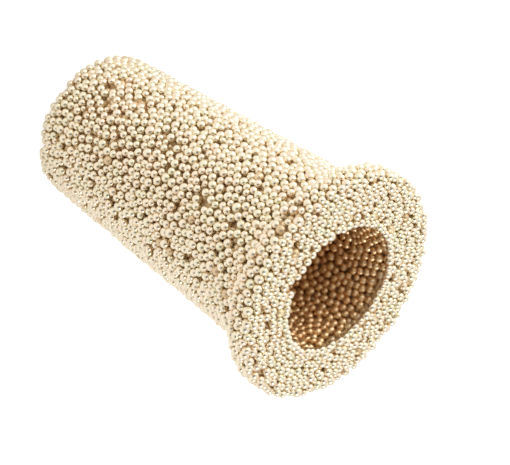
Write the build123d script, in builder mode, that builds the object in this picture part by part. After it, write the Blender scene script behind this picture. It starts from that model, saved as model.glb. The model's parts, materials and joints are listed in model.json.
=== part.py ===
"""Sintered bronze silencer element: a flanged thimble of fused round beads.

Units are millimetres. The origin is the middle of the closed end's outer face,
and +Z runs along the axis, from the closed end to the open mouth.

The real pieces are thousands of beads fused where they touch. Here the beads of
each place are joined into one closed solid: a skin one bead thick, divided by
where it lies, and the beads inside the wall behind it. Neighbours meet face to
face, so together they fill the moulded shape exactly.
"""

from build123d import *

import os

os.makedirs("parts", exist_ok=True)

# Driving dimensions of the moulded shape, which the tips of the beads touch.
LENGTH = 26.8
FLANGE_R = 9.0
FLANGE_THICK = 2.4
BARREL_R_AT_FLANGE = 7.3
BARREL_R_AT_END = 5.9
MOUTH_R = 4.75
BORE_R_AT_FLOOR = 4.3
SPIGOT_DEPTH = 8.0
END_THICK = 2.4

# Radii of the moulded corners.
END_ROUND = 0.6
RIM_ROUND = 0.6
MOUTH_ROUND = 0.3
NECK_FILLET = 0.7
FLOOR_FILLET = 0.8

# The skin is one bead thick.
BEAD = 0.64

# Bands that the long walls are divided into.
BARREL_BANDS = 6
BORE_BANDS = 4

# Where the skin's groups meet, a little clear of the roundings.
CLEAR = 0.1
FLANGE_BACK_Z = LENGTH - FLANGE_THICK
END_EDGE_R = BARREL_R_AT_END - END_ROUND - CLEAR
END_EDGE_Z = END_ROUND + CLEAR
NECK_Z = FLANGE_BACK_Z - NECK_FILLET - CLEAR
RIM_R = FLANGE_R - RIM_ROUND - CLEAR
MOUTH_EDGE_R = MOUTH_R + BEAD + CLEAR
MOUTH_EDGE_Z = LENGTH - BEAD - CLEAR
SPIGOT_Z = LENGTH - SPIGOT_DEPTH
FLOOR_Z = END_THICK + FLOOR_FILLET + CLEAR


def barrel_radius(z):
    """Outer radius of the tapered barrel at height z."""
    return BARREL_R_AT_END + (BARREL_R_AT_FLANGE - BARREL_R_AT_END) * z / FLANGE_BACK_Z


def bore_radius(z):
    """Radius of the bore at height z: straight for a spigot, then tapered."""
    share = min(1, (z - END_THICK) / (SPIGOT_Z - END_THICK))
    return BORE_R_AT_FLOOR + (MOUTH_R - BORE_R_AT_FLOOR) * share


def mid_wall(z):
    """Radius half way through the barrel's wall at height z."""
    return (barrel_radius(z) + bore_radius(z)) / 2


def half_section(inset):
    """Half of the thimble's section on XZ, with every surface moved in by inset."""
    foot = (BARREL_R_AT_END - inset, inset)
    neck = (BARREL_R_AT_FLANGE - inset, FLANGE_BACK_Z + inset)
    rim_back = (FLANGE_R - inset, FLANGE_BACK_Z + inset)
    rim_front = (FLANGE_R - inset, LENGTH - inset)
    mouth = (MOUTH_R + inset, LENGTH - inset)
    step = (MOUTH_R + inset, SPIGOT_Z)
    floor_edge = (BORE_R_AT_FLOOR + inset, END_THICK - inset)
    rounding = {
        foot: END_ROUND - inset,
        neck: NECK_FILLET + inset,
        rim_back: RIM_ROUND - inset,
        rim_front: RIM_ROUND - inset,
        mouth: MOUTH_ROUND - inset,
        floor_edge: FLOOR_FILLET + inset,
    }
    outline = (foot, neck, rim_back, rim_front, mouth, step, floor_edge)
    with BuildSketch(Plane.XZ) as half:
        with BuildLine():
            Polyline((0, inset), *outline, (0, END_THICK - inset), close=True)
        make_face()
        for (r, z), radius in rounding.items():
            if radius > 0:
                corner = half.vertices().sort_by_distance(Vector(r, z))[0]
                fillet(corner, radius=radius)
    return half.sketch


def window(low, high):
    """A rectangle on XZ between two corners (radius, height)."""
    width, height = high[0] - low[0], high[1] - low[1]
    middle = (low[0] + width / 2, low[1] + height / 2)
    with BuildSketch(Plane.XZ) as opening:
        with Locations(middle):
            Rectangle(width, height)
    return opening.sketch


MOULDED = half_section(0)
HEART = half_section(BEAD)


def skin(low, high):
    """The skin of beads, one bead thick, seen through a window of the section."""
    with BuildPart() as group:
        with BuildSketch(Plane.XZ):
            add(MOULDED)
            add(HEART, mode=Mode.SUBTRACT)
            add(window(low, high), mode=Mode.INTERSECT)
        revolve(axis=Axis.Z)
    return group.part


def heart(low, high):
    """The beads inside the wall, between two heights."""
    with BuildPart() as group:
        with BuildSketch(Plane.XZ):
            add(HEART)
            add(window((0, low), (FLANGE_R, high)), mode=Mode.INTERSECT)
        revolve(axis=Axis.Z)
    return group.part


def save(shape, name):
    """Writes one node's STEP file."""
    shape.label = name
    export_step(shape, f"parts/{name}.step")


def band_heights(low, high, count):
    """The heights that divide a wall into equal bands, each with the next."""
    edges = [low + (high - low) * n / count for n in range(count + 1)]
    return list(zip(edges, edges[1:]))


# Closed end.
save(skin((0, 0), (END_EDGE_R, BEAD)), "end_face_beads")
save(skin((END_EDGE_R, 0), (FLANGE_R, END_EDGE_Z)), "end_edge_beads")

# Barrel, from the closed end to the neck.
for number, (low, high) in enumerate(band_heights(END_EDGE_Z, NECK_Z, BARREL_BANDS), 1):
    inside = mid_wall((low + high) / 2)
    save(skin((inside, low), (FLANGE_R, high)), f"barrel_beads_{number}")

# Neck and flange.
neck_inside = mid_wall(NECK_Z)
save(skin((neck_inside, NECK_Z), (RIM_R, FLANGE_BACK_Z + BEAD)), "neck_beads")
save(skin((RIM_R, FLANGE_BACK_Z), (FLANGE_R, LENGTH)), "flange_rim_beads")
save(skin((MOUTH_EDGE_R, LENGTH - BEAD), (RIM_R, LENGTH)), "flange_face_beads")

# Mouth and bore, from the mouth inwards.
save(skin((MOUTH_R, MOUTH_EDGE_Z), (MOUTH_EDGE_R, LENGTH)), "mouth_edge_beads")
for number, (high, low) in enumerate(band_heights(MOUTH_EDGE_Z, FLOOR_Z, BORE_BANDS), 1):
    inside = mid_wall((low + high) / 2)
    save(skin((0, low), (inside, high)), f"bore_beads_{number}")
floor_inside = mid_wall(FLOOR_Z)
save(skin((0, END_THICK - BEAD), (floor_inside, FLOOR_Z)), "bore_floor_beads")

# The beads inside the wall.
save(heart(0, END_THICK - BEAD), "inner_end_beads")
save(heart(END_THICK - BEAD, FLOOR_Z), "inner_corner_beads")
save(heart(FLOOR_Z, NECK_Z), "inner_barrel_beads")
save(heart(NECK_Z, LENGTH), "inner_flange_beads")
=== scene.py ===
# %% [markdown]
# # A silencer element of fused bronze beads
#
# The object is a small thimble with a flange. Compressed air blows into its open
# mouth and leaves quietly through thousands of gaps between bronze beads. It is
# made by pouring loose round powder into a mould and heating it until the beads
# fuse where they touch. So there is one thing to model, the bead, and one thing
# to get right about it: how thousands of them lie against the mould's wall.

# %% Load the frame
import json
import math

import bpy
import numpy as np
from mathutils import Matrix, Vector


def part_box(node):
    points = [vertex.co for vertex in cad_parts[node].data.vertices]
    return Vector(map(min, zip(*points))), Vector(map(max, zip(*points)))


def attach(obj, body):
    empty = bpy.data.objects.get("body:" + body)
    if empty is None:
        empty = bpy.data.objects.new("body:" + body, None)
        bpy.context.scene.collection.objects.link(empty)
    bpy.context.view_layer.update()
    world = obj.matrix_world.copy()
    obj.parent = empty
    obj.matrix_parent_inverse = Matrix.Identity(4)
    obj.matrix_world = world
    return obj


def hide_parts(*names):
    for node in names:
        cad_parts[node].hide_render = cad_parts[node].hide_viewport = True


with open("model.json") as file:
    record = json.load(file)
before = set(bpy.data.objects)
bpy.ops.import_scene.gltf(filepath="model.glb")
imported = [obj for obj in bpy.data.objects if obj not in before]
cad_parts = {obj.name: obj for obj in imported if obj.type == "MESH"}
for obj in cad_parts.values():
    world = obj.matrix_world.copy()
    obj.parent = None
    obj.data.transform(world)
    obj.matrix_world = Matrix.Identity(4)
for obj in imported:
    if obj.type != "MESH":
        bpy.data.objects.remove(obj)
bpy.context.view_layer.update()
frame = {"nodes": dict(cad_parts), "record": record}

MM = 0.001
rng = np.random.default_rng(11)

# %% [markdown]
# ## The mould's outline
#
# The mould decides where the tips of the outermost beads lie. It is a body of
# revolution, so half of its section is enough: a run of straight lines with rounded
# corners, from the middle of the closed end, along the barrel and the flange, into
# the mouth and down the bore. The frame gives every size, because each of its nodes
# is a stretch of that outline.

# %% Read the sizes of the mould


def reach(name):
    """A node's largest radius, lowest height and highest height."""
    low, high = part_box(name)
    return high[0], low[2], high[2]


mounts = {mount["name"]: mount for mount in frame["record"]["mounts"]}
skin = reach("end_face_beads")[2]
flange_r, flange_back, length = reach("flange_rim_beads")
near_end_r, _, near_end_z = reach("barrel_beads_1")
near_neck_r, _, near_neck_z = reach("barrel_beads_6")
taper = (near_neck_r - near_end_r) / (near_neck_z - near_end_z)
end_r = near_end_r - taper * near_end_z
neck_r = end_r + taper * flange_back
mouth_r = mounts["bore"]["dims"]["r_mm"] * MM
spigot_z = mounts["bore"]["pos_m"][2] - mounts["bore"]["dims"]["length_mm"] * MM / 2
floor_outer_r, floor_low_z, floor_high_z = reach("bore_floor_beads")
floor_z = floor_low_z + skin
bore_taper = (mouth_r - (floor_outer_r - skin)) / (spigot_z - floor_high_z)
floor_r = mouth_r - bore_taper * (spigot_z - floor_z)
print("barrel %.2f to %.2f mm in radius" % (end_r / MM, neck_r / MM))
print("bore %.2f to %.2f mm in radius" % (floor_r / MM, mouth_r / MM))

# %% Draw the outline

END_ROUND = 0.6 * MM
RIM_ROUND = 0.6 * MM
MOUTH_ROUND = 0.3 * MM
NECK_FILLET = 0.7 * MM
FLOOR_FILLET = 0.8 * MM
OUTLINE_STEP = 0.02 * MM
ARC_POINTS = 24


def rounded_outline(corners, roundings, step):
    """Points, outward normals and bends, step apart, along lines with rounded corners.

    A corner that turns by an angle t gets an arc of radius R, which starts
    R * tan(t / 2) before the corner. The arc's centre lies on the side that the
    outline turns to. The solid lies on the left, so a normal is the direction of
    travel turned a quarter to the right. The bend is how fast the heading turns
    left, so it is 1 / R on a corner that sticks out and 0 on a straight.
    """
    corners = np.array(corners)
    points, headings = [corners[:1]], []
    for before, here, after, radius in zip(corners, corners[1:], corners[2:], roundings):
        heading = math.atan2(*(here - before)[::-1])
        turn = math.atan2(*(after - here)[::-1]) - heading
        turn = (turn + math.pi) % (2 * math.pi) - math.pi
        along = np.array((math.cos(heading), math.sin(heading)))
        start = here - along * radius * math.tan(abs(turn) / 2)
        side = math.copysign(radius, turn)
        centre = start + side * np.array((-along[1], along[0]))
        angles = heading + turn * np.linspace(0, 1, ARC_POINTS)
        headings += [np.array([heading]), angles]
        points += [start[None], centre + side * np.stack((np.sin(angles), -np.cos(angles)), 1)]
    headings += [np.array([math.atan2(*(corners[-1] - corners[-2])[::-1])] * 2)]
    points += [corners[-1:]]
    points, headings = np.concatenate(points), np.unwrap(np.concatenate(headings))
    travelled = np.append(0, np.cumsum(np.hypot(*np.diff(points, axis=0).T)))
    even = np.linspace(0, travelled[-1], int(travelled[-1] / step))
    even_points = np.stack([np.interp(even, travelled, side) for side in points.T], 1)
    even_heading = np.interp(even, travelled, headings)
    normals = np.stack((np.sin(even_heading), -np.cos(even_heading)), 1)
    return even, even_points, normals, np.gradient(even_heading, even)


corners = [
    (0, 0),
    (end_r, 0),
    (neck_r, flange_back),
    (flange_r, flange_back),
    (flange_r, length),
    (mouth_r, length),
    (mouth_r, spigot_z),
    (floor_r, floor_z),
    (0, floor_z),
]
roundings = [END_ROUND, NECK_FILLET, RIM_ROUND, RIM_ROUND, MOUTH_ROUND, 0, FLOOR_FILLET]
travelled, outline, normals, bend = rounded_outline(corners, roundings, OUTLINE_STEP)
print("outline: %d points, %.1f mm long" % (len(outline), travelled[-1] / MM))

# %% [markdown]
# ## Letting the beads settle
#
# Real powder is shaken down until the beads touch. The same idea works here: spread
# the beads evenly over the mould's wall, throw each a little off its place, then
# again and again push apart any two that overlap, while each stays at its own depth
# under the wall. After 200 rounds some overlap is left, and irregular gaps remain
# between the beads, as between real ones. Most beads touch the wall, some have
# slipped a little behind it, and a second course lies deeper and shows in the gaps.
#
# Comparing every bead with every other would be slow, so the beads are first sorted
# into cubes, and each is compared only with those in its own cube and next to it.

# %% Find the pairs that are close


def close_pairs(points, nearness):
    """Every pair of points nearer to each other than nearness, as two index arrays.

    A cube's number is made of its three whole coordinates, so the cube next to it
    in any direction is a fixed number further. Half of the 26 neighbours are enough,
    because the other half finds the same pairs the other way round.
    """
    cubes = np.floor(points / nearness).astype(np.int64)
    cubes -= cubes.min(axis=0) - 1
    sides = cubes.max(axis=0) + 2
    number = (cubes[:, 0] * sides[1] + cubes[:, 1]) * sides[2] + cubes[:, 2]
    order = np.argsort(number, kind="stable")
    in_order = number[order]
    steps = [(0, 0, 0), (0, 0, 1)]
    steps += [(0, 1, z) for z in (-1, 0, 1)]
    steps += [(1, y, z) for y in (-1, 0, 1) for z in (-1, 0, 1)]
    firsts, seconds = [], []
    for x, y, z in steps:
        wanted = number + (x * sides[1] + y) * sides[2] + z
        low = np.searchsorted(in_order, wanted, "left")
        count = np.searchsorted(in_order, wanted, "right") - low
        first = np.repeat(np.arange(len(points)), count)
        run = np.arange(count.sum()) - np.repeat(np.cumsum(count) - count, count)
        second = order[np.repeat(low, count) + run]
        near = np.linalg.norm(points[first] - points[second], axis=1) < nearness
        if (x, y, z) == (0, 0, 0):
            near &= first < second
        firsts.append(first[near])
        seconds.append(second[near])
    return np.concatenate(firsts), np.concatenate(seconds)


# %% Throw the beads on the wall

BEAD_R = 0.322 * MM
BEAD_R_SPREAD = 0.034 * MM
BEAD_R_RANGE = (0.24 * MM, 0.42 * MM)
COVER = 0.88
UNDER_COVER = 0.74
UNDER_DEPTH = 0.5 * MM
LEAST_SHORTENING = 0.15
EVEN = (0.7548777, 0.5698403)
THROWN_OFF = 0.3 * MM
SUNK_SHARE = 0.35
SUNK_DEPTH = 0.16 * MM


def at(places, column):
    """A column of a table kept along the outline, read at some places on it."""
    return np.interp(places, travelled, column)


def shortening(depth, bend):
    """How long a step along the outline is at a depth: 1 - depth times the bend.

    Round a corner that sticks out, beads lie on a smaller arc than the outline's,
    and round one that goes in, on a larger arc. It is kept above a small number,
    because a bead larger than the rounding would have no way round the corner.
    """
    return (1 - depth * bend).clip(LEAST_SHORTENING)


def throw(cover, extra_depth):
    """Radii, depths, places along the outline and angles of one course of beads.

    The course's area is the sum, over the outline's steps, of 2 * pi * radius times
    the step, as long as it is at the course's depth. Enough beads are thrown for
    their round shadows to cover that share of it, and a step gets its share of beads
    by its own area. Purely random throws would leave bare patches, so the n-th bead
    lands at the shares n * EVEN[0] and n * EVEN[1] of the two directions, less whole
    turns, which fills the wall evenly, and is then thrown off by about its radius.
    """
    depth = BEAD_R + extra_depth
    course_r = (outline - depth * normals)[:, 0].clip(0)
    area = 2 * math.pi * course_r * np.gradient(travelled) * shortening(depth, bend)
    number = int(cover * area.sum() / (math.pi * (BEAD_R**2 + BEAD_R_SPREAD**2)))
    radii = rng.normal(BEAD_R, BEAD_R_SPREAD, number).clip(*BEAD_R_RANGE)
    sunk = SUNK_DEPTH * rng.random(number) * (rng.random(number) < 2 * SUNK_SHARE)
    share, turn = (np.arange(1, number + 1) * step % 1 for step in EVEN)
    places = np.interp(share, np.cumsum(area) / area.sum(), travelled)
    aside = rng.normal(0, THROWN_OFF, (2, number))
    angles = 2 * math.pi * turn + aside[0] / at(places, course_r).clip(BEAD_R)
    places = (places + aside[1]).clip(0, travelled[-1])
    return radii, radii + extra_depth + sunk, places, angles


top_course = throw(COVER, 0)
under_course = throw(UNDER_COVER, UNDER_DEPTH)
radii, depths, places, angles = (np.concatenate(pair) for pair in zip(top_course, under_course))
is_under = np.arange(len(radii)) >= len(top_course[0])
print("beads: %d in the outer course, %d under it" % ((~is_under).sum(), is_under.sum()))

# %% Let them settle

ROUNDS = 200
RATE = 0.5
FUSED = 0.03
NEIGHBOURS_EVERY = 10
NEIGHBOURS_WITHIN = 1.0 * MM


def centres_of(places, depths, angles):
    """Bead centres: the outline's point, moved in by the depth, turned by the angle."""
    r = at(places, outline[:, 0]) - depths * at(places, normals[:, 0])
    z = at(places, outline[:, 1]) - depths * at(places, normals[:, 1])
    return np.stack((r * np.cos(angles), r * np.sin(angles), z), 1)


def pushes(centres, radii, first, second):
    """How far every bead is pushed by those it overlaps, half of each overlap."""
    apart = centres[first] - centres[second]
    distance = np.linalg.norm(apart, axis=1)
    overlap = ((radii[first] + radii[second]) * (1 - FUSED) - distance).clip(0)
    push = apart / distance[:, None] * overlap[:, None] * RATE
    count = len(centres)
    return np.stack(
        [
            np.bincount(first, side, count) - np.bincount(second, side, count)
            for side in push.T
        ],
        1,
    )


for turn in range(ROUNDS):
    centres = centres_of(places, depths, angles)
    if turn % NEIGHBOURS_EVERY == 0:
        first, second = close_pairs(centres, NEIGHBOURS_WITHIN)
    push = pushes(centres, radii, first, second)
    outwards = push[:, 0] * np.cos(angles) + push[:, 1] * np.sin(angles)
    along_r, along_z = -at(places, normals[:, 1]), at(places, normals[:, 0])
    moved = outwards * along_r + push[:, 2] * along_z
    places = places + moved / shortening(depths, at(places, bend))
    places = np.abs(places)
    places = travelled[-1] - np.abs(travelled[-1] - places)
    angles = np.arctan2(centres[:, 1] + push[:, 1], centres[:, 0] + push[:, 0])
centres = centres_of(places, depths, angles)
left = np.linalg.norm(pushes(centres, radii, *close_pairs(centres, NEIGHBOURS_WITHIN)), axis=1)
print("half the beads are still pushed less than %.3f mm a round" % (np.median(left) / MM))

# %% [markdown]
# ## Missing beads
#
# Here and there a bead never fused and has fallen out, which leaves a pore with
# brown shade in it. Taking a few beads of the outer course away at random does that.

# %% Leave some out

PORE_SHARE = 0.01
kept = is_under | (rng.random(len(radii)) > PORE_SHARE)
radii, places, centres, is_under = (values[kept] for values in (radii, places, centres, is_under))
print("pores:", (~kept).sum())

# %% [markdown]
# ## One bead
#
# A bead appears thousands of times, so it must have few faces. A cube whose sides
# are cut three by three and blown up to a ball has 54 faces, all about the same
# size, and no pinched poles. Atomised powder isn't perfectly round: each bead is
# stretched a few hundredths one way, and turned at random.

# %% Make the ball

CUTS = 3
OVAL = 0.035


def ball():
    """Vertices and four-sided faces of a unit ball made from a cut cube.

    On a cube's side the cuts lie at tan(angle) for evenly spaced angles from -45 to
    45 degrees, which makes the ball's faces nearly equal. Each side is a grid, the
    six grids are turned into place, and shared edges are merged.
    """
    cuts = np.tan(np.linspace(-math.pi / 4, math.pi / 4, CUTS + 1))
    u, v = (side.ravel() for side in np.meshgrid(cuts, cuts))
    one = np.ones_like(u)
    sides = [(one, u, v), (-one, v, u), (v, one, u), (u, -one, v), (u, v, one), (v, u, -one)]
    points = np.concatenate([np.stack(side, 1) for side in sides])
    rows, columns = (index.ravel() for index in np.mgrid[0:CUTS, 0:CUTS])
    corner = rows * (CUTS + 1) + columns
    quads = np.stack((corner, corner + 1, corner + CUTS + 2, corner + CUTS + 1), 1)
    quads = np.concatenate([quads + side * (CUTS + 1) ** 2 for side in range(6)])
    _, chosen, merged = np.unique(
        points.round(6), axis=0, return_index=True, return_inverse=True
    )
    points = points[chosen] / np.linalg.norm(points[chosen], axis=1)[:, None]
    return points, merged.ravel()[quads]


ball_points, ball_faces = ball()
outward = np.einsum(
    "fi,fi->f",
    np.cross(
        ball_points[ball_faces[:, 1]] - ball_points[ball_faces[:, 0]],
        ball_points[ball_faces[:, 2]] - ball_points[ball_faces[:, 0]],
    ),
    ball_points[ball_faces[:, 0]],
)
ball_faces[outward < 0] = ball_faces[outward < 0, ::-1]
print("a bead has %d corners and %d faces" % (len(ball_points), len(ball_faces)))


def random_turns(number):
    """Rotation matrices from random unit quaternions (w, x, y, z)."""
    quaternions = rng.normal(size=(4, number))
    w, x, y, z = quaternions / np.linalg.norm(quaternions, axis=0)
    rows = [
        [1 - 2 * (y * y + z * z), 2 * (x * y - w * z), 2 * (x * z + w * y)],
        [2 * (x * y + w * z), 1 - 2 * (x * x + z * z), 2 * (y * z - w * x)],
        [2 * (x * z - w * y), 2 * (y * z + w * x), 1 - 2 * (x * x + y * y)],
    ]
    return np.array(rows).transpose(2, 0, 1)


# %% Make a group of beads


def mesh_object(name, points, faces):
    """A smooth-shaded object from an array of points and one of four-sided faces."""
    mesh = bpy.data.meshes.new(name)
    mesh.vertices.add(len(points))
    mesh.vertices.foreach_set("co", points.astype(np.float32).ravel())
    mesh.loops.add(faces.size)
    mesh.loops.foreach_set("vertex_index", faces.astype(np.int32).ravel())
    mesh.polygons.add(len(faces))
    mesh.polygons.foreach_set("loop_start", np.arange(0, faces.size, 4, dtype=np.int32))
    mesh.polygons.foreach_set("use_smooth", np.ones(len(faces), bool))
    mesh.update(calc_edges=True)
    mesh.validate()
    piece = bpy.data.objects.new(name, mesh)
    bpy.context.collection.objects.link(piece)
    return piece


def store(piece, name, values):
    """Keeps one number for every vertex, which a material can read by name."""
    layer = piece.data.attributes.new(name, "FLOAT", "POINT")
    layer.data.foreach_set("value", values.astype(np.float32))


def bead_group(name, chosen):
    """One piece made of all chosen beads, each a closed ball of its own.

    A bead's points are its centre plus its radius times the unit ball, stretched a
    little along each axis and turned. tone is a random number for each bead, the
    same all over it.
    """
    number = int(chosen.sum())
    stretch = 1 + OVAL * rng.normal(size=(number, 1, 3)).clip(-1.5, 1.5)
    shapes = random_turns(number) * stretch
    points = np.einsum("nij,vj->nvi", shapes, ball_points) * radii[chosen, None, None]
    points += centres[chosen, None, :]
    offsets = np.arange(number)[:, None, None] * len(ball_points)
    faces = (ball_faces[None] + offsets).reshape(-1, 4)
    piece = mesh_object(name, points.reshape(-1, 3), faces)
    store(piece, "tone", np.repeat(rng.random(number), len(ball_points)))
    print("%-28s %4d beads, %6d triangles" % (name, number, 2 * len(faces)))
    return piece


# %% [markdown]
# ## One piece for each node
#
# The frame divides the skin of beads by place, so the beads are grouped the same
# way. Going along the outline, each node ends at a point that its box gives.

# %% Find where each node ends along the outline


def place_of(r, z):
    """How far along the outline its point nearest to (r, z) is."""
    return travelled[np.argmin(np.hypot(outline[:, 0] - r, outline[:, 1] - z))]


barrel_nodes = ["barrel_beads_%d" % number for number in range(1, 7)]
bore_nodes = ["bore_beads_%d" % number for number in range(1, 5)]
ends = {"end_face_beads": place_of(reach("end_face_beads")[0], 0)}
ends["end_edge_beads"] = place_of(end_r, reach("end_edge_beads")[2])
for name in barrel_nodes:
    ends[name] = place_of(reach(name)[0], reach(name)[2])
ends["neck_beads"] = place_of(reach("neck_beads")[0], flange_back)
ends["flange_rim_beads"] = place_of(reach("flange_face_beads")[0], length)
ends["flange_face_beads"] = place_of(reach("mouth_edge_beads")[0], length)
ends["mouth_edge_beads"] = place_of(mouth_r, reach("mouth_edge_beads")[1])
for name in bore_nodes:
    ends[name] = place_of(mouth_r, reach(name)[1])
ends["bore_floor_beads"] = travelled[-1]

pieces = {}
start = -1.0
for name, end in ends.items():
    chosen = ~is_under & (places > start) & (places <= end)
    pieces[name] = bead_group(name + "_laid", chosen)
    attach(pieces[name], "root")
    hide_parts(name)
    start = end

# %% [markdown]
# ## The course underneath, and the dark inside
#
# Through the gaps one sees the next course of beads, and past those, only shade.
# The second course is real beads again, in six pieces, each named for where it lies
# as seen from the mouth. Behind it, a smaller copy of the outline spun round the
# axis closes the view and keeps light out of the wall, where the frame has its
# inner beads.

# %% Group the second course

under_parts = {
    "end": "end_edge_beads",
    "barrel_far": "barrel_beads_3",
    "barrel_near": "barrel_beads_6",
    "flange": "mouth_edge_beads",
    "bore_near": "bore_beads_2",
    "bore_far": "bore_floor_beads",
}
under_pieces = {}
start = -1.0
for part, last_node in under_parts.items():
    end = ends[last_node]
    chosen = is_under & (places > start) & (places <= end)
    under_pieces[part] = bead_group("under_beads_" + part, chosen)
    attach(under_pieces[part], "root")
    start = end

# %% Spin the dark inside

HEART_DEPTH = 0.9 * MM
HEART_SIDES = 128
HEART_STEP = 12
CLEAR_OF_AXIS = 0.1 * MM


def spun(name, r, z, sides):
    """A closed surface: the profile (r, z) carried round the axis in equal turns.

    Both ends of the profile lie on the axis, where all turns share one point.
    """
    turns = np.linspace(0, 2 * math.pi, sides, endpoint=False)[:, None]
    heights = np.broadcast_to(z[1:-1], (sides, len(z) - 2))
    ring = np.stack((r[1:-1] * np.cos(turns), r[1:-1] * np.sin(turns), heights), 2)
    points = np.concatenate((ring.reshape(-1, 3), [(0, 0, z[0]), (0, 0, z[-1])]))
    across = len(z) - 2
    spoke, along = (index.ravel() for index in np.mgrid[0:sides, 0 : across - 1])
    here, beside = spoke * across + along, (spoke + 1) % sides * across + along
    quads = np.stack((here, beside, beside + 1, here + 1), 1)
    spokes = np.arange(sides)
    first = np.stack((spokes * across, (spokes + 1) % sides * across), 1)
    caps = [(len(points) - 2, b, a) for a, b in first]
    caps += [(len(points) - 1, a + across - 1, b + across - 1) for a, b in first]
    mesh = bpy.data.meshes.new(name)
    mesh.from_pydata(points.tolist(), [], quads.tolist() + caps)
    mesh.polygons.foreach_set("use_smooth", np.ones(len(mesh.polygons), bool))
    piece = bpy.data.objects.new(name, mesh)
    bpy.context.collection.objects.link(piece)
    return piece


heart_line = (outline - HEART_DEPTH * normals)[::HEART_STEP]
heart_line = heart_line[heart_line[:, 0] > CLEAR_OF_AXIS]
heart_r = np.concatenate(([0], heart_line[:, 0], [0]))
heart_z = np.concatenate((heart_line[:1, 1], heart_line[:, 1], heart_line[-1:, 1]))
heart = spun("inner_shade", heart_r, heart_z, HEART_SIDES)
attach(heart, "root")
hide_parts(*(name for name in frame["nodes"] if name.startswith("inner_")))
print("dark inside: %d faces" % len(heart.data.polygons))

# %% [markdown]
# ## The bronze
#
# Tin bronze powder is pale and satin. Each bead is a small mirror that is not quite
# polished: it shows its bright surroundings, and every time light passes from bead
# to bead it takes on more of the metal's warm colour, so gaps turn brown. Shade is
# also painted: the beads in the bore, the second course and the dark inside get
# browner, darker colours than the outer beads. What has to be made by hand is the
# variation. Beads differ in tone from cream to pinkish and greenish, a few are
# oxidised, and every bead has fine dull blotches and a slightly rough skin.
#
# The variation is one node group, placed in each finish with its own values.

# %% Helpers for node trees


def link(tree, output, socket):
    tree.links.new(output, socket)


def node(tree, kind, **settings):
    """A new node with its settings, such as operation="MULTIPLY"."""
    made = tree.nodes.new(kind)
    for name, value in settings.items():
        setattr(made, name, value)
    return made


def noise(tree, coordinates, size, detail=2.0, roughness=0.5):
    """The grey value of a noise pattern whose features are about size metres."""
    made = node(tree, "ShaderNodeTexNoise")
    made.inputs["Scale"].default_value = 1 / size
    made.inputs["Detail"].default_value = detail
    made.inputs["Roughness"].default_value = roughness
    link(tree, coordinates, made.inputs["Vector"])
    return made.outputs["Fac"]


def spread(tree, value, low, high, to_low=0.0, to_high=1.0):
    """Stretches the part of a value between low and high to another range, clamped."""
    made = node(tree, "ShaderNodeMapRange", clamp=True)
    for name, number in zip(
        ("From Min", "From Max", "To Min", "To Max"), (low, high, to_low, to_high)
    ):
        made.inputs[name].default_value = number
    link(tree, value, made.inputs["Value"])
    return made.outputs["Result"]


def mixed(tree, share, first, second, blend="MIX"):
    """A colour mix. first and second are sockets or colours."""
    made = node(tree, "ShaderNodeMix", data_type="RGBA", blend_type=blend)
    sockets = (made.inputs[0], made.inputs[6], made.inputs[7])
    for socket, value in zip(sockets, (share, first, second)):
        if isinstance(value, bpy.types.NodeSocket):
            link(tree, value, socket)
        else:
            socket.default_value = value
    return made.outputs[2]


# %% Build the group for the bead's skin

STAINED_IS_ROUGHER = 0.15


def bead_skin_group():
    """Colour, roughness and height that vary from bead to bead and over each bead."""
    group = bpy.data.node_groups.new("bead_skin", "ShaderNodeTree")
    for name, kind in (
        ("Clean", "NodeSocketColor"),
        ("Warm", "NodeSocketColor"),
        ("Cool", "NodeSocketColor"),
        ("Oxide", "NodeSocketColor"),
        ("Polish", "NodeSocketFloat"),
    ):
        group.interface.new_socket(name, in_out="INPUT", socket_type=kind)
    for name, kind in (
        ("Color", "NodeSocketColor"),
        ("Roughness", "NodeSocketFloat"),
        ("Height", "NodeSocketFloat"),
    ):
        group.interface.new_socket(name, in_out="OUTPUT", socket_type=kind)
    values = node(group, "NodeGroupInput").outputs
    result = node(group, "NodeGroupOutput").inputs
    place = node(group, "ShaderNodeTexCoord").outputs["Object"]
    tone = node(group, "ShaderNodeAttribute", attribute_name="tone").outputs["Fac"]

    warmer = spread(group, tone, 0.45, 1.0, 0.0, 0.9)
    colour = mixed(group, warmer, values["Clean"], values["Warm"])
    cooler = spread(group, tone, 0.0, 0.3, 0.7, 0.0)
    colour = mixed(group, cooler, colour, values["Cool"])
    rare = spread(group, tone, 0.985, 0.99)
    stain = spread(group, noise(group, place, 3.0 * MM), 0.52, 0.72, 0.0, 0.2)
    blotch = spread(group, noise(group, place, 0.22 * MM, 3.0), 0.5, 0.75, 0.0, 0.4)
    oxidised = node(group, "ShaderNodeMath", operation="MAXIMUM")
    link(group, rare, oxidised.inputs[0])
    link(group, blotch, oxidised.inputs[1])
    stained = node(group, "ShaderNodeMath", operation="MULTIPLY_ADD", use_clamp=True)
    link(group, stain, stained.inputs[0])
    link(group, blotch, stained.inputs[1])
    link(group, oxidised.outputs[0], stained.inputs[2])
    colour = mixed(group, stained.outputs[0], colour, values["Oxide"])
    link(group, colour, result["Color"])

    grain = noise(group, place, 0.06 * MM, 3.0, 0.6)
    rough = node(group, "ShaderNodeMath", operation="MULTIPLY_ADD")
    link(group, spread(group, grain, 0.3, 0.7, -0.06, 0.12), rough.inputs[0])
    rough.inputs[1].default_value = 1.0
    link(group, values["Polish"], rough.inputs[2])
    rougher = node(group, "ShaderNodeMath", operation="MULTIPLY_ADD")
    link(group, stained.outputs[0], rougher.inputs[0])
    rougher.inputs[1].default_value = STAINED_IS_ROUGHER
    link(group, rough.outputs[0], rougher.inputs[2])
    link(group, rougher.outputs[0], result["Roughness"])
    link(group, grain, result["Height"])
    return group


bead_skin = bead_skin_group()
print("bead skin:", len(bead_skin.nodes), "nodes")

# %% Mix the finishes from it

METALLIC = 0.9


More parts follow.
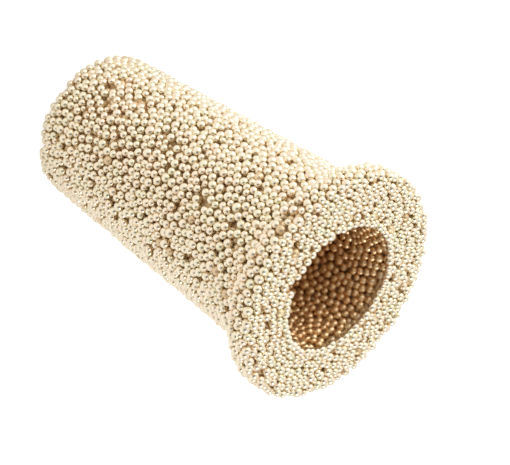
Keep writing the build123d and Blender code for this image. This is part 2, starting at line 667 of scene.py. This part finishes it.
def bronze(name, clean, warm, cool, oxide, polish, bump=0.006 * MM):
    """A bronze finish: the group's colours and roughness on a metallic surface."""
    material = bpy.data.materials.new(name)
    material.use_nodes = True
    tree = material.node_tree
    tree.nodes.clear()
    shader = node(tree, "ShaderNodeBsdfPrincipled")
    shader.inputs["Metallic"].default_value = METALLIC
    skin_node = node(tree, "ShaderNodeGroup", node_tree=bead_skin)
    for socket, colour in (("Clean", clean), ("Warm", warm), ("Cool", cool), ("Oxide", oxide)):
        skin_node.inputs[socket].default_value = (*colour, 1)
    skin_node.inputs["Polish"].default_value = polish
    bumps = node(tree, "ShaderNodeBump")
    bumps.inputs["Strength"].default_value = 0.5
    bumps.inputs["Distance"].default_value = bump
    link(tree, skin_node.outputs["Height"], bumps.inputs["Height"])
    link(tree, skin_node.outputs["Color"], shader.inputs["Base Color"])
    link(tree, skin_node.outputs["Roughness"], shader.inputs["Roughness"])
    link(tree, bumps.outputs["Normal"], shader.inputs["Normal"])
    out = node(tree, "ShaderNodeOutputMaterial")
    link(tree, shader.outputs[0], out.inputs["Surface"])
    return material


outer_bronze = bronze(
    "outer_bronze",
    clean=(0.93, 0.83, 0.64),
    warm=(0.94, 0.79, 0.62),
    cool=(0.87, 0.82, 0.60),
    oxide=(0.74, 0.56, 0.35),
    polish=0.23,
)
# Painted shade: the beads in the bore get a browner, darker colour than the outer beads, for the
# shade deep in the bore.
bore_bronze_painted_shade = bronze(
    "bore_bronze_painted_shade",
    clean=(0.95, 0.72, 0.43),
    warm=(0.95, 0.66, 0.37),
    cool=(0.91, 0.71, 0.42),
    oxide=(0.76, 0.48, 0.24),
    polish=0.3,
)
# Painted shade: the second course, seen through the gaps, gets a browner, darker colour than the
# outer beads, for the shade between them.
under_bronze_painted_shade = bronze(
    "under_bronze_painted_shade",
    clean=(0.89, 0.72, 0.48),
    warm=(0.89, 0.69, 0.44),
    cool=(0.85, 0.72, 0.48),
    oxide=(0.72, 0.53, 0.31),
    polish=0.42,
)
shade_bronze = bronze(
    "shade_bronze",
    clean=(0.90, 0.68, 0.42),
    warm=(0.88, 0.62, 0.38),
    cool=(0.84, 0.66, 0.40),
    oxide=(0.70, 0.46, 0.24),
    polish=0.6,
)

# %% Give each piece its finish

in_bore = bore_nodes + ["bore_floor_beads"]
# The beads in the bore take the finish with painted shade.
for name, piece in pieces.items():
    piece.data.materials.append(bore_bronze_painted_shade if name in in_bore else outer_bronze)
# The second course takes the finish with painted shade.
for piece in under_pieces.values():
    piece.data.materials.append(under_bronze_painted_shade)
heart.data.materials.append(shade_bronze)

# %% [markdown]
# ## Floor, camera and light
#
# A bead shows what surrounds it, so the light is mostly white surroundings, as in a
# light tent: a bright sky, brighter towards one side, and a white floor. Below the
# camera's line the tent has a dim opening, which puts a small dark dash into every
# bead that faces it. A large lamp brightens one flank, and a small one shines down
# into the mouth.

# %% Lay the floor

FLOOR_R = 3.0
FLOOR_GLOW = 0.1
FLOOR_GLOW_SEEN = 0.7
floor_signs = ((-1, -1), (1, -1), (1, 1), (-1, 1))
floor_points = [(x * FLOOR_R, y * FLOOR_R, 0) for x, y in floor_signs]
floor_mesh = bpy.data.meshes.new("floor")
floor_mesh.from_pydata(floor_points, [], [(0, 1, 2, 3)])
floor = bpy.data.objects.new("floor", floor_mesh)
bpy.context.collection.objects.link(floor)
paper = bpy.data.materials.new("white_paper")
paper.use_nodes = True
paper_shader = paper.node_tree.nodes["Principled BSDF"]
paper_shader.inputs["Base Color"].default_value = (0.92, 0.92, 0.92, 1)
paper_shader.inputs["Roughness"].default_value = 0.9
paper_shader.inputs["Specular IOR Level"].default_value = 0.0
paper_shader.inputs["Emission Color"].default_value = (1, 1, 1, 1)
seen = node(paper.node_tree, "ShaderNodeLightPath").outputs["Is Camera Ray"]
glow = spread(paper.node_tree, seen, 0.0, 1.0, FLOOR_GLOW, FLOOR_GLOW_SEEN)
link(paper.node_tree, glow, paper_shader.inputs["Emission Strength"])
floor_mesh.materials.append(paper)

# %% Place the camera

AIM = Vector((0.1, 0, 18.0)) * MM
DISTANCE = 158.6 * MM
ELEVATION = math.radians(35.3)
ROLL = math.radians(124.3)
towards_camera = Vector((0, -math.cos(ELEVATION), math.sin(ELEVATION)))
camera = bpy.data.objects.new("camera", bpy.data.cameras.new("camera"))
bpy.context.collection.objects.link(camera)
upright = (-towards_camera).to_track_quat("-Z", "Y").to_matrix()
turned = upright @ Matrix.Rotation(ROLL, 3, "Z")
camera.matrix_world = Matrix.Translation(AIM + towards_camera * DISTANCE) @ turned.to_4x4()
camera.data.lens = 156.6
camera.data.clip_start = 0.01
camera.data.clip_end = 20
bpy.context.scene.camera = camera

# %% Surround it with white

world = bpy.data.worlds.new("light_tent")
bpy.context.scene.world = world
world.use_nodes = True
tree = world.node_tree
tree.nodes.clear()
direction = node(tree, "ShaderNodeTexCoord").outputs["Generated"]
view_right, view_up, _ = turned.transposed()
bright_side = (1.6 * view_up + Vector((-1, 0, 0))).normalized()
TENT_DIM, TENT_BRIGHT = 0.83, 1.22
OPENING_DIMS = 0.93
OPEN_BELOW = math.radians(18)
OPEN_WIDTH, OPEN_HEIGHT = math.sin(math.radians(40)), math.sin(math.radians(26))
open_middle = towards_camera * math.cos(OPEN_BELOW) - view_up * math.sin(OPEN_BELOW)
open_up = view_up * math.cos(OPEN_BELOW) + towards_camera * math.sin(OPEN_BELOW)


def along(vector):
    """How far the direction of view reaches along a vector, their dot product."""
    made = node(tree, "ShaderNodeVectorMath", operation="DOT_PRODUCT")
    link(tree, direction, made.inputs[0])
    made.inputs[1].default_value = vector
    return made.outputs["Value"]


def maths(operation, *values):
    """A sum node's result. Each value is a socket or a number."""
    made = node(tree, "ShaderNodeMath", operation=operation)
    for socket, value in zip(made.inputs, values):
        if isinstance(value, bpy.types.NodeSocket):
            link(tree, value, socket)
        else:
            socket.default_value = value
    return made.outputs[0]


across = along(view_right / OPEN_WIDTH)
upwards = along(open_up / OPEN_HEIGHT)
from_middle = maths("ADD", maths("MULTIPLY", across, across), maths("MULTIPLY", upwards, upwards))
opening = spread(tree, from_middle, 0.3, 1.3, OPENING_DIMS, 0.0)
in_front = spread(tree, along(open_middle), 0.0, 0.2)
tent = spread(tree, along(bright_side), -0.4, 0.9, TENT_DIM, TENT_BRIGHT)
tent = maths("MULTIPLY", tent, maths("SUBTRACT", 1.0, maths("MULTIPLY", opening, in_front)))
background = node(tree, "ShaderNodeBackground")
background.inputs["Color"].default_value = (1, 0.99, 0.97, 1)
link(tree, tent, background.inputs["Strength"])
link(tree, background.outputs[0], node(tree, "ShaderNodeOutputWorld").inputs["Surface"])


def soft_box(name, direction, distance, size, watts):
    """A square lamp that looks at the object from a direction."""
    lamp = bpy.data.objects.new(name, bpy.data.lights.new(name, "AREA"))
    lamp.data.size = size
    lamp.data.energy = watts
    place = AIM + Vector(direction).normalized() * distance
    turn = (AIM - place).to_track_quat("-Z", "Y").to_matrix()
    lamp.matrix_world = Matrix.Translation(place) @ turn.to_4x4()
    bpy.context.collection.objects.link(lamp)
    return lamp


soft_box("left_wall", (-1.0, -0.1, 0.25), 0.35, 0.3, 0.45)
soft_box("mouth_lamp", (0.8, 0.1, 1.3), 0.35, 0.1, 0.3)
scene = bpy.context.scene
scene.cycles.glossy_bounces = 8
scene.view_settings.view_transform = "Standard"
scene.view_settings.exposure = 0.0
